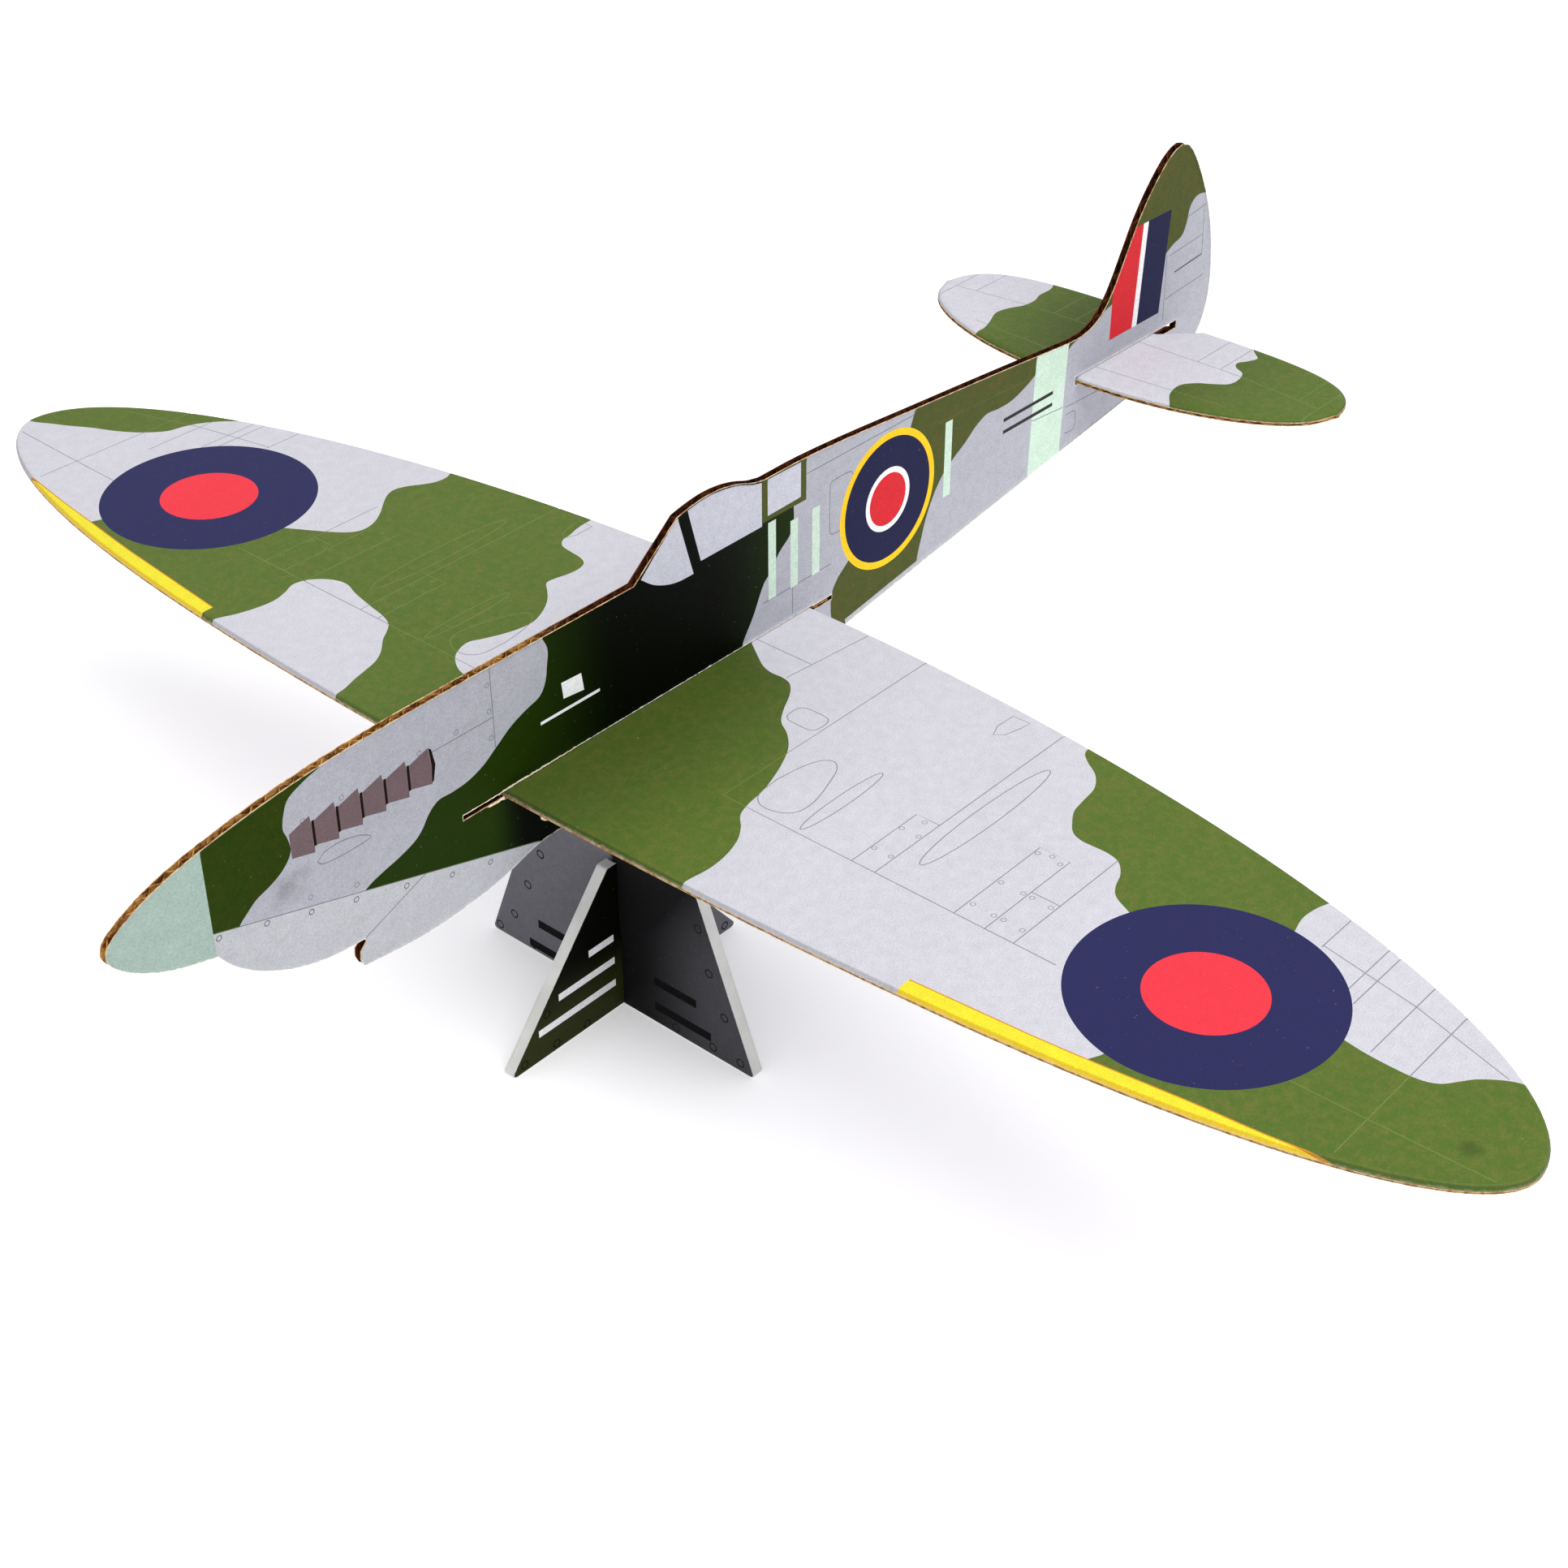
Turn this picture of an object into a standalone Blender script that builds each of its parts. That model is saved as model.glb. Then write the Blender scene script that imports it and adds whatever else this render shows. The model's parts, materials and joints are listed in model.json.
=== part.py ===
"""Slot-together card model of an elliptical-wing fighter, on a stand of two slotted panels.

Metres. +X points to the nose, +Y to port, +Z up. The origin is on the floor, under the middle of
the model. Every board is built as the sheets it is laminated from: a core between two skins.
"""

import math

import bmesh
import bpy
from mathutils import Vector
from mathutils.geometry import interpolate_bezier

MM = 0.001

# Aircraft stock: micro-flute corrugated card, in millimetres
BOARD = 1.60
LINER = 0.22
GLUE_LINE = 0.02

# Stand stock: thicker white board with a printed paper on both faces, in millimetres
STAND_BOARD = 3.00
STAND_PAPER = 0.30
PAPER_SETBACK = 0.20

# Where the parts sit. Everything below is in millimetres from a datum on the wing's top face, on
# the line through the centres of the two wing roundels.
DATUM = Vector((38.05, 0.0, 71.05))
FLOOR = -71.05
FIT = 0.30

# Wing planform: an ellipse whose front and rear chords swell slightly outboard
HALF_SPAN = 200.4
WING_CENTRE_X = 2.53
FRONT_CHORD = (34.65, 6.10, -0.90)
REAR_CHORD = (55.90, -3.78, 0.13)
WING_STEPS = 96
WING_TOP = 0.0

# Tailplane
TAILPLANE_TOP = 19.05

# Slots in the profile board that the wing and the tailplane slide through. The wing's slot is a
# die-cut slit that runs on past both ends of the chord, where nothing has opened it up.
SLOT_CLEARANCE = 0.25
WING_SLIT_X = (-60.2, 48.2)
WING_SLIT_HEIGHT = 1.15
TAIL_SLOT_X = (-190.1, -148.0)

# Stand: two trapezoids that cross half-lapped at CROSS_X
CROSS_X = 7.2
LONG_HALF_FOOT = 34.9
LONG_HALF_TOP = 4.4
LONG_TOP = -33.3
CROSS_HALF_FOOT = 39.0
CROSS_HALF_TOP = 12.4
CROSS_TOP = -1.9
HALF_LAP = -52.2
SADDLE = -9.15
CORNER_RADIUS = 0.8
THROUGH = 10.0


def clear_scene():
    for obj in list(bpy.data.objects):
        bpy.data.objects.remove(obj, do_unlink=True)


# Curves and outlines


def curve(points, per_span=4):
    """A smooth run through the given stations, ending exactly on the first and the last."""
    stations = [Vector((a, b, 0.0)) for a, b in points]
    last = len(stations) - 1
    run = []
    for i in range(last):
        here = stations[i]
        there = stations[i + 1]
        before = stations[max(i - 1, 0)]
        after = stations[min(i + 2, last)]
        span = (there - here).length
        leaving = (there - before) * span / (3.0 * (span + (here - before).length))
        arriving = (after - here) * span / (3.0 * (span + (after - there).length))
        samples = interpolate_bezier(here, here + leaving, there - arriving, there, per_span + 1)
        run += [(s.x, s.y) for s in samples[:-1]]
    run.append((stations[-1].x, stations[-1].y))
    return run


def joined(*runs):
    """One outline from runs laid end to end, with each shared point kept once."""
    outline = []
    for point in [p for run in runs for p in run]:
        if not outline or math.dist(point, outline[-1]) > 0.01:
            outline.append(point)
    if math.dist(outline[0], outline[-1]) <= 0.01:
        outline.pop()
    return outline


def rounded(corners, radius, steps=3):
    """A polygon with an arc of the given radius at each corner."""
    outline = []
    for i, corner in enumerate(Vector(c) for c in corners):
        back = (Vector(corners[i - 1]) - corner).normalized()
        ahead = (Vector(corners[(i + 1) % len(corners)]) - corner).normalized()
        half_angle = back.angle(ahead) / 2.0
        centre = corner + (back + ahead).normalized() * radius / math.sin(half_angle)
        start = corner + back * radius / math.tan(half_angle) - centre
        sweep = start.angle_signed(corner + ahead * radius / math.tan(half_angle) - centre)
        first = math.atan2(start.y, start.x)
        for k in range(steps + 1):
            angle = first - sweep * k / steps
            outline.append((centre.x + radius * math.cos(angle), centre.y + radius * math.sin(angle)))
    return outline


def fuselage_outline():
    """The profile board as (x, z), from the nose over the top and back along the belly."""
    cowling = curve(
        [(127.7, 13.6), (127.1, 15.6), (124.5, 17.8), (119.5, 20.4), (113.0, 22.7), (106.3, 24.3),
         (95.0, 26.2), (82.0, 27.7), (66.0, 28.5), (45.0, 28.75), (0.0, 28.8)]
    )
    hood = curve(
        [(-12.6, 38.7), (-16.5, 39.5), (-21.5, 40.0), (-26.5, 39.7), (-31.0, 38.7), (-35.0, 37.3),
         (-38.5, 36.6)]
    )
    spine = curve(
        [(-38.5, 36.6), (-50.0, 36.6), (-65.0, 35.8), (-85.0, 34.2), (-110.0, 32.2), (-130.0, 30.5),
         (-142.0, 29.4)]
    )
    fin = curve(
        [(-142.0, 29.4), (-149.0, 29.1), (-154.5, 30.3), (-158.5, 33.1), (-162.0, 37.6),
         (-166.0, 44.6), (-170.0, 51.4), (-174.5, 57.2), (-179.5, 62.1), (-183.0, 64.2), (-185.6, 64.8)]
    )
    rudder = curve(
        [(-185.6, 64.8), (-188.6, 63.8), (-191.8, 60.3), (-195.5, 54.4), (-199.0, 47.4),
         (-201.7, 39.6), (-203.3, 31.5), (-203.8, 24.5), (-202.9, 18.3), (-200.4, 13.2),
         (-196.0, 9.8), (-190.0, 8.0)]
    )
    belly = [(-90.0, -5.9), (-65.0, -9.7), (23.0, -16.5)]
    radiator = curve(
        [(23.0, -16.5), (28.0, -16.7), (32.0, -17.5), (37.0, -19.0), (43.0, -20.3), (50.0, -21.1),
         (57.0, -21.45), (65.0, -21.1), (71.0, -20.4), (75.1, -19.9)]
    )
    intake = [(75.9, -18.0), (75.7, -16.2), (74.1, -14.6), (74.4, -13.9)]
    chin = curve(
        [(74.4, -13.9), (80.0, -13.6), (86.0, -12.5), (91.0, -10.8), (96.0, -8.3), (100.0, -5.6),
         (103.5, -2.4), (106.3, 1.3)]
    )
    spinner = curve(
        [(106.3, 1.3), (112.5, 2.9), (118.0, 5.0), (122.5, 7.6), (125.7, 10.2), (127.2, 12.1),
         (127.7, 13.6)]
    )
    return joined(cowling, hood, spine, fin, rudder, belly, radiator, intake, chin, spinner)


def half_chord(terms, u):
    swell = terms[0] + terms[1] * u**2 + terms[2] * u**4
    return swell * math.sqrt(max(1.0 - u * u, 0.0))


def wing_outline():
    """The one-piece wing as (x, y), along the leading edge from starboard to port and back."""
    stations = [math.sin(math.pi * (i / WING_STEPS - 0.5)) for i in range(WING_STEPS + 1)]
    leading = [(WING_CENTRE_X + half_chord(FRONT_CHORD, u), u * HALF_SPAN) for u in stations]
    trailing = [(WING_CENTRE_X - half_chord(REAR_CHORD, u), u * HALF_SPAN) for u in stations]
    return joined(leading, trailing[::-1])


def tailplane_outline():
    """The one-piece tailplane as (x, y), with the V cut behind it that clears the rudder."""
    leading = curve(
        [(-148.6, 0.0), (-148.9, 10.0), (-150.0, 20.0), (-152.2, 30.0), (-155.9, 40.0),
         (-160.4, 48.0), (-165.8, 53.6), (-173.2, 56.6)]
    )
    trailing = curve(
        [(-173.2, 56.6), (-179.4, 54.8), (-184.2, 50.4), (-187.1, 44.0), (-188.7, 36.0),
         (-189.6, 25.0), (-189.8, 9.5)]
    )
    port = joined(leading, trailing, [(-181.4, 1.1)])
    starboard = [(x, -y) for x, y in port[:0:-1]]
    return port + starboard


def trapezoid(centre, half_foot, half_top, floor, top):
    corners = [(centre - half_foot, floor), (centre + half_foot, floor)]
    corners += [(centre + half_top, top), (centre - half_top, top)]
    return rounded(corners, CORNER_RADIUS)


# Solids


def world_location(obj):
    here = Vector(obj.location)
    while obj.parent is not None:
        obj = obj.parent
        here += obj.location
    return here


def moving_body(name, pivot, parent=None):
    """An empty on the joint axis of one moving body, at a pivot in millimetres from the datum."""
    empty = bpy.data.objects.new(name, None)
    bpy.context.collection.objects.link(empty)
    empty.empty_display_size = 0.02
    empty.location = (DATUM + Vector(pivot)) * MM
    if parent is not None:
        empty.location -= world_location(parent)
        empty.parent = parent
    return empty


def in_plane(plane, a, b, depth):
    """The point (a, b) of an outline drawn in the named plane, at a depth across that plane."""
    if plane == "XZ":
        return Vector((a, depth, b))
    if plane == "XY":
        return Vector((a, b, depth))
    return Vector((depth, a, b))


def slab(name, outline, plane, low, high, body, material=None):
    """A sheet with the given outline, between two depths across its plane."""
    shift = DATUM - world_location(body) / MM
    shape = bmesh.new()
    points = [(in_plane(plane, a, b, low) + shift) * MM for a, b in outline]
    face = shape.faces.new([shape.verts.new(p) for p in points])
    grown = bmesh.ops.extrude_face_region(shape, geom=[face])
    moved = [item for item in grown["geom"] if isinstance(item, bmesh.types.BMVert)]
    bmesh.ops.translate(shape, verts=moved, vec=in_plane(plane, 0.0, 0.0, high - low) * MM)
    bmesh.ops.recalc_face_normals(shape, faces=shape.faces)
    mesh = bpy.data.meshes.new(name)
    shape.to_mesh(mesh)
    shape.free()
    obj = bpy.data.objects.new(name, mesh)
    bpy.context.collection.objects.link(obj)
    obj.parent = body
    if material is not None:
        mesh.materials.append(material)
    return obj


def laminate(prefix, skin_names, outline, plane, low, board, skin, gap, body, materials):
    """The core and the two skins of one board, with the glue line left open between them."""
    high = low + board
    core_material, low_material, high_material = materials
    return [
        slab(f"{prefix}_core", outline, plane, low + skin + gap, high - skin - gap, body, core_material),
        slab(f"{prefix}_{skin_names[0]}", outline, plane, low, low + skin, body, low_material),
        slab(f"{prefix}_{skin_names[1]}", outline, plane, high - skin, high, body, high_material),
    ]


def cut_box(objects, name, low, high, body):
    """Cuts a box, given by two corners, out of each object."""
    outline = [(low[0], low[2]), (high[0], low[2]), (high[0], high[2]), (low[0], high[2])]
    tool = slab(name, outline, "XZ", low[1], high[1], body)
    tool.hide_render = True
    tool.display_type = "WIRE"
    for obj in objects:
        modifier = obj.modifiers.new(name, "BOOLEAN")
        modifier.operation = "DIFFERENCE"
        modifier.solver = "EXACT"
        modifier.object = tool


# Materials


def material(name, colour, roughness):
    made = bpy.data.materials.new(name)
    made.use_nodes = True
    shader = made.node_tree.nodes["Principled BSDF"]
    shader.inputs["Base Color"].default_value = (*colour, 1.0)
    shader.inputs["Roughness"].default_value = roughness
    return made


# Pieces


def build_stand_long(body):
    """The panel that stands under the fuselage, with a slot open at its top."""
    half = STAND_BOARD / 2.0
    core = material("board_long", (0.80, 0.79, 0.76), 0.85)
    port = material("print_long_port", (0.06, 0.07, 0.06), 0.60)
    starboard = material("print_long_starboard", (0.12, 0.12, 0.14), 0.60)
    outline = trapezoid(CROSS_X, LONG_HALF_FOOT, LONG_HALF_TOP, FLOOR, LONG_TOP)
    printed = trapezoid(CROSS_X, LONG_HALF_FOOT, LONG_HALF_TOP, FLOOR + PAPER_SETBACK, LONG_TOP)
    reach = half - STAND_PAPER
    pieces = [
        slab("stand_long_core", outline, "XZ", GLUE_LINE - reach, reach - GLUE_LINE, body, core),
        slab("stand_long_starboard_paper", printed, "XZ", -half, -reach, body, starboard),
        slab("stand_long_port_paper", printed, "XZ", reach, half, body, port),
    ]
    slot = half + FIT
    low = (CROSS_X - slot, -THROUGH, HALF_LAP - FIT / 2.0)
    high = (CROSS_X + slot, THROUGH, LONG_TOP + THROUGH)
    cut_box(pieces, "slot_in_stand_long", low, high, body)


def build_stand_cross(body):
    """The panel that stands under the wing: a slot open at its foot, and a saddle at its top."""
    half = STAND_BOARD / 2.0
    core = material("board_cross", (0.80, 0.79, 0.76), 0.85)
    front = material("print_cross_front", (0.14, 0.14, 0.16), 0.60)
    rear = material("print_cross_rear", (0.12, 0.12, 0.14), 0.60)
    outline = trapezoid(0.0, CROSS_HALF_FOOT, CROSS_HALF_TOP, FLOOR, CROSS_TOP)
    printed = trapezoid(0.0, CROSS_HALF_FOOT, CROSS_HALF_TOP, FLOOR + PAPER_SETBACK, CROSS_TOP)
    inner = half - STAND_PAPER
    core_reach = inner - GLUE_LINE
    pieces = [
        slab("stand_cross_core", outline, "YZ", CROSS_X - core_reach, CROSS_X + core_reach, body, core),
        slab("stand_cross_rear_paper", printed, "YZ", CROSS_X - half, CROSS_X - inner, body, rear),
        slab("stand_cross_front_paper", printed, "YZ", CROSS_X + inner, CROSS_X + half, body, front),
    ]
    slot = half + FIT
    low = (CROSS_X - THROUGH, -slot, FLOOR - THROUGH)
    high = (CROSS_X + THROUGH, slot, HALF_LAP + FIT / 2.0)
    cut_box(pieces, "slot_in_stand_cross", low, high, body)
    saddle = BOARD / 2.0 + FIT
    low = (CROSS_X - THROUGH, -saddle, SADDLE - FIT / 2.0)
    high = (CROSS_X + THROUGH, saddle, CROSS_TOP + THROUGH)
    cut_box(pieces, "saddle_in_stand_cross", low, high, body)


def build_fuselage(body):
    """The profile board, with the slots for wing and tailplane and the notch over the stand."""
    half = BOARD / 2.0
    core = material("flute_fuselage", (0.33, 0.19, 0.08), 0.90)
    port = material("print_fuselage_port", (0.24, 0.27, 0.18), 0.55)
    starboard = material("print_fuselage_starboard", (0.24, 0.27, 0.18), 0.55)
    pieces = laminate(
        "fuselage", ("starboard_liner", "port_liner"), fuselage_outline(), "XZ", -half, BOARD,
        LINER, GLUE_LINE, body, (core, starboard, port),
    )
    wing_root_x = (WING_CENTRE_X - REAR_CHORD[0] - FIT, WING_CENTRE_X + FRONT_CHORD[0] + FIT)
    for name, ends, top in (
        ("wing_slot", wing_root_x, WING_TOP),
        ("tailplane_slot", TAIL_SLOT_X, TAILPLANE_TOP),
    ):
        low = (ends[0], -THROUGH, top - BOARD - SLOT_CLEARANCE)
        high = (ends[1], THROUGH, top + SLOT_CLEARANCE)
        cut_box(pieces, name, low, high, body)
    low = (WING_SLIT_X[0], -THROUGH, WING_TOP - WING_SLIT_HEIGHT)
    high = (WING_SLIT_X[1], THROUGH, WING_TOP)
    cut_box(pieces, "wing_slit", low, high, body)
    notch = STAND_BOARD / 2.0 + FIT
    low = (CROSS_X - notch, -THROUGH, FLOOR)
    high = (CROSS_X + notch, THROUGH, SADDLE + FIT / 2.0)
    cut_box(pieces, "notch_over_stand", low, high, body)


def build_wing(body):
    core = material("flute_wing", (0.33, 0.19, 0.08), 0.90)
    top = material("print_wing_top", (0.34, 0.38, 0.32), 0.55)
    bottom = material("print_wing_bottom", (0.50, 0.53, 0.56), 0.55)
    laminate(
        "wing", ("bottom_liner", "top_liner"), wing_outline(), "XY", WING_TOP - BOARD, BOARD,
        LINER, GLUE_LINE, body, (core, bottom, top),
    )


def build_tailplane(body):
    core = material("flute_tailplane", (0.33, 0.19, 0.08), 0.90)
    top = material("print_tailplane_top", (0.34, 0.38, 0.32), 0.55)
    bottom = material("print_tailplane_bottom", (0.50, 0.53, 0.56), 0.55)
    laminate(
        "tailplane", ("bottom_liner", "top_liner"), tailplane_outline(), "XY",
        TAILPLANE_TOP - BOARD, BOARD, LINER, GLUE_LINE, body, (core, bottom, top),
    )


def main():
    clear_scene()
    long_panel = moving_body("body_stand_long", (CROSS_X, 0.0, FLOOR))
    cross_panel = moving_body("body_stand_cross", (CROSS_X, 0.0, HALF_LAP), long_panel)
    fuselage = moving_body("body_fuselage", (CROSS_X, 0.0, SADDLE), cross_panel)
    wing = moving_body("body_wing", (WING_CENTRE_X, 0.0, WING_TOP - BOARD / 2.0), fuselage)
    tail_middle = (TAIL_SLOT_X[0] + TAIL_SLOT_X[1]) / 2.0
    tailplane = moving_body("body_tailplane", (tail_middle, 0.0, TAILPLANE_TOP - BOARD / 2.0), fuselage)
    build_stand_long(long_panel)
    build_stand_cross(cross_panel)
    build_fuselage(fuselage)
    build_wing(wing)
    build_tailplane(tailplane)


main()
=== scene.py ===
"""Looks of the slot-together card aircraft and its stand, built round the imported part.

Each board of the aircraft is drawn as it is made: two printed skins, pressed down along their die-cut
edges, with a fluted brown sheet between them. The stand is solid white board between two printed papers.
Prints are cut into the skins' meshes, so that their edges are crisp. They are laid out in millimetres
from the datum, which is on the wing's top face, on the roundels' line.
"""

import json
import math
import random

import bmesh
import bpy
import numpy as np
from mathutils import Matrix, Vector
from mathutils.geometry import delaunay_2d_cdt, interpolate_bezier


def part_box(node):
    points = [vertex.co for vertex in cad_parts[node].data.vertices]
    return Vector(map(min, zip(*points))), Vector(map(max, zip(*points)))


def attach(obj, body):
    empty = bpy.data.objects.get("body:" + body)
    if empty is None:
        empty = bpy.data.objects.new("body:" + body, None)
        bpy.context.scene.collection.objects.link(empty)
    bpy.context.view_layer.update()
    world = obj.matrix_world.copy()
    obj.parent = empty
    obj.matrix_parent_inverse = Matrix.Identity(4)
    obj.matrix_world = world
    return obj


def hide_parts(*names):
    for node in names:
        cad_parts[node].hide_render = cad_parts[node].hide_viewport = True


MM = 0.001
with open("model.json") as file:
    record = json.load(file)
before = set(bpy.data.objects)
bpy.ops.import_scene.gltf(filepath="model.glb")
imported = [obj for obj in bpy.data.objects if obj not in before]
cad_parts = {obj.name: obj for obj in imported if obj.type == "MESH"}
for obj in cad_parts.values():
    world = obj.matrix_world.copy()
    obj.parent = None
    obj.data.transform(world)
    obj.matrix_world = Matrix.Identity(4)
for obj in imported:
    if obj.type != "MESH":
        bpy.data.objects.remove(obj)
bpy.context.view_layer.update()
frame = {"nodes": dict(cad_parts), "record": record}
SLOT_OF = {part["node"]: part["material_slot"] for part in frame["record"]["subparts"]}

# ---------- datum and boards
# Lengths from here on are in millimetres, except in the studio at the end.

WING_FRONT = 37.18  # from the roundels' line to the wing's leading edge
wing_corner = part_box("wing_top_liner")[1]
DATUM = Vector((wing_corner.x - WING_FRONT * MM, 0.0, wing_corner.z))
cross_low, cross_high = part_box("stand_cross_core")
CROSS_X = ((cross_low + cross_high).x / 2.0 - DATUM.x) / MM
FLUTE_PITCH = 3.2
MEDIUM = 0.20  # thickness of the fluted sheet
LINER = 0.22  # thickness of an aircraft board's skin
SLOT_WALL = 1.80  # from the middle of the stand's half-lap slot to its wall
SLOT_CLOSED = 0.22  # how far the paper reaches past that wall


class Board:
    """A flat board: outlines and prints are (a, b) in its plane, and depth runs along its normal."""

    def __init__(self, a_axis, b_axis, normal, body, low_skin, high_skin):
        self.a_axis, self.b_axis, self.normal = Vector(a_axis), Vector(b_axis), Vector(normal)
        self.body = body
        self.core = body + "_core"
        self.skins = {-1: body + low_skin, 1: body + high_skin}
        boxes = [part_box(node) for node in (self.core, *self.skins.values())]
        low = min(corners[0].dot(self.normal) for corners in boxes)
        high = max(corners[1].dot(self.normal) for corners in boxes)
        self.middle = (low + high) / 2.0
        self.half = (high - low) / 2.0 / MM

    def world(self, a, b, depth):
        at = DATUM + self.a_axis * a * MM + self.b_axis * b * MM
        return at + self.normal * (self.middle - DATUM.dot(self.normal) + depth * MM)

    def loops(self, node):
        """The outline of a CAD sheet and of its holes, as closed runs of (a, b)."""
        mesh = frame["nodes"][node].data
        top = max(v.co.dot(self.normal) for v in mesh.vertices)
        edges = {}
        for polygon in mesh.polygons:
            faces_up = polygon.normal.dot(self.normal) > 0.9
            if faces_up and abs(polygon.center.dot(self.normal) - top) < 0.02 * MM:
                ends = [tuple(np.round(np.array(mesh.vertices[v].co) / MM, 3)) for v in polygon.vertices]
                edges.update(dict.fromkeys(zip(ends, ends[1:] + ends[:1])))
        following = {}
        for one, two in edges:
            if (two, one) not in edges:
                following.setdefault(one, []).append(two)

        def step_from(here):
            there = following[here].pop()
            if not following[here]:
                del following[here]
            return there

        found = []
        while following:
            loop = [next(iter(following))]
            here = step_from(loop[0])
            while here != loop[0]:
                loop.append(here)
                here = step_from(here)
            if len(loop) > 2:
                points = [(Vector(p) * MM - DATUM) / MM for p in loop]
                found.append(np.array([(p.dot(self.a_axis), p.dot(self.b_axis)) for p in points]))
        return found


X, Y, Z = (1, 0, 0), (0, 1, 0), (0, 0, 1)
WING = Board(Y, X, Z, "wing", "_bottom_liner", "_top_liner")
TAIL = Board(Y, X, Z, "tailplane", "_bottom_liner", "_top_liner")
BODY = Board(X, Z, Y, "fuselage", "_starboard_liner", "_port_liner")
LONG = Board(X, Z, Y, "stand_long", "_starboard_paper", "_port_paper")
CROSS = Board(Y, Z, X, "stand_cross", "_rear_paper", "_front_paper")

# ---------- flat geometry

SMOOTH_STEP = 0.6  # shortest piece of a smooth run
THIN_LINE = 0.20  # width of a printed line

def smooth(points, per_span=6):
    """A smooth run through the given points."""
    at = [Vector((a, b, 0)) for a, b in points]
    run = []
    for i in range(len(at) - 1):
        here, there = at[i], at[i + 1]
        before, after = at[max(i - 1, 0)], at[min(i + 2, len(at) - 1)]
        span = (there - here).length
        leaving = (there - before) * span / (3.0 * (span + (here - before).length))
        arriving = (after - here) * span / (3.0 * (span + (after - there).length))
        steps = max(2, min(per_span, int(span / SMOOTH_STEP) + 1))
        samples = interpolate_bezier(here, here + leaving, there - arriving, there, steps + 1)
        run += [(s.x, s.y) for s in samples[:-1]]
    run.append((at[-1].x, at[-1].y))
    return run


def ellipse(a, b, half_a, half_b, steps=48):
    turns = [math.tau * k / steps for k in range(steps)]
    return [(a + half_a * math.cos(turn), b + half_b * math.sin(turn)) for turn in turns]


def circle(a, b, radius, steps):
    return ellipse(a, b, radius, radius, steps)


def rect(a0, b0, a1, b1):
    return [(a0, b0), (a1, b0), (a1, b1), (a0, b1)]


def segments(loop):
    return zip(loop, np.roll(loop, -1, axis=0))


def sides_of(points, width, closed):
    """The run of points moved half the width to its left, and to its right."""
    at = [Vector(p) for p in points]
    left, right = [], []
    for i, p in enumerate(at):
        after = at[(i + 1) % len(at)] if closed else at[min(i + 1, len(at) - 1)]
        before = at[i - 1] if closed else at[max(i - 1, 0)]
        ahead = (after - before).normalized()
        side = Vector((-ahead.y, ahead.x)) * width / 2.0
        left.append(tuple(p + side))
        right.append(tuple(p - side))
    return left, right


def stroke(points, width=THIN_LINE):
    """A line of the given width along the given points, as a closed outline."""
    left, right = sides_of(points, width, False)
    return left + right[::-1]


def outline(points, width=THIN_LINE):
    """A closed line of the given width, as its two outlines."""
    left, right = sides_of(points, width, True)
    return [right, left]


def divided(loop, step):
    """The loop with points added so that none are further apart than the step."""
    made = []
    for one, two in segments(loop):
        parts = max(1, int(math.ceil(float(np.linalg.norm(two - one)) / step)))
        made += [one + (two - one) * k / parts for k in range(parts)]
    return np.array(made)


def inside(points, loops):
    """Which points are inside, by the even-odd rule over all the loops."""
    result = np.zeros(len(points), bool)
    for loop in loops:
        loop = np.asarray(loop, float)
        low, high = loop.min(axis=0), loop.max(axis=0)
        near = np.nonzero(np.all((points >= low) & (points <= high), axis=1))[0]
        if not len(near):
            continue
        x, y = points[near, 0], points[near, 1]
        odd = np.zeros(len(near), bool)
        for (x0, y0), (x1, y1) in segments(loop):
            if y0 != y1:
                crosses = (y0 > y) != (y1 > y)
                odd ^= crosses & (x < (x1 - x0) * (y - y0) / (y1 - y0) + x0)
        result[near] ^= odd
    return result


def edge_distance(points, loops):
    """How far each point is from the nearest outline edge."""
    best = np.full(len(points), 1e9)
    for loop in loops:
        for one, two in segments(loop):
            along = two - one
            length = float(along @ along)
            if length < 1e-12:
                continue
            t = np.clip(((points - one) @ along) / length, 0, 1)
            gap = points - (one + t[:, None] * along)
            best = np.minimum(best, np.einsum("ij,ij->i", gap, gap))
    return np.sqrt(best)


def rings_inside(loops, offsets):
    """Points set in from the outline, for the bend of a pressed edge."""
    found = []
    for loop in loops:
        ahead = np.roll(loop, -1, axis=0) - np.roll(loop, 1, axis=0)
        side = np.column_stack([-ahead[:, 1], ahead[:, 0]])
        side /= np.maximum(np.linalg.norm(side, axis=1), 1e-9)[:, None]
        for sign in (1, -1):
            inward = inside(loop + side * sign * 0.05, loops)
            for offset in offsets:
                kept = loop[inward] + side[inward] * sign * offset
                kept = kept[inside(kept, loops)]
                found.append(kept[edge_distance(kept, loops) > 0.9 * offset])
    return np.concatenate(found)


# ---------- sheets

OUTLINE_STEP = 1.1  # longest edge along a skin's outline
PRINT_STEP = 1.0  # longest edge of a print near that outline
PRINT_NEAR = 3.5  # how near that is
PRESS_RINGS = (0.12, 0.26, 0.45, 0.75, 1.3, 1.9)
WELD = 1e-4  # points this close are joined
RIM_REACH = 3.0  # the rim attribute counts millimetres from the cut edge, up to this
FLUTE_STEP = 0.4
CORNER_GAP = 0.006  # from an outline corner to the cuts on both sides of it
FLUTE_EDGE = 1.5  # how far in from the outline the fluted sheet starts to bend
FLUTE_ROWS = 6
STRIP_STEP = 0.45


def add_object(name, data):
    obj = bpy.data.objects.new(name, data)
    bpy.context.scene.collection.objects.link(obj)
    return obj


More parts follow.
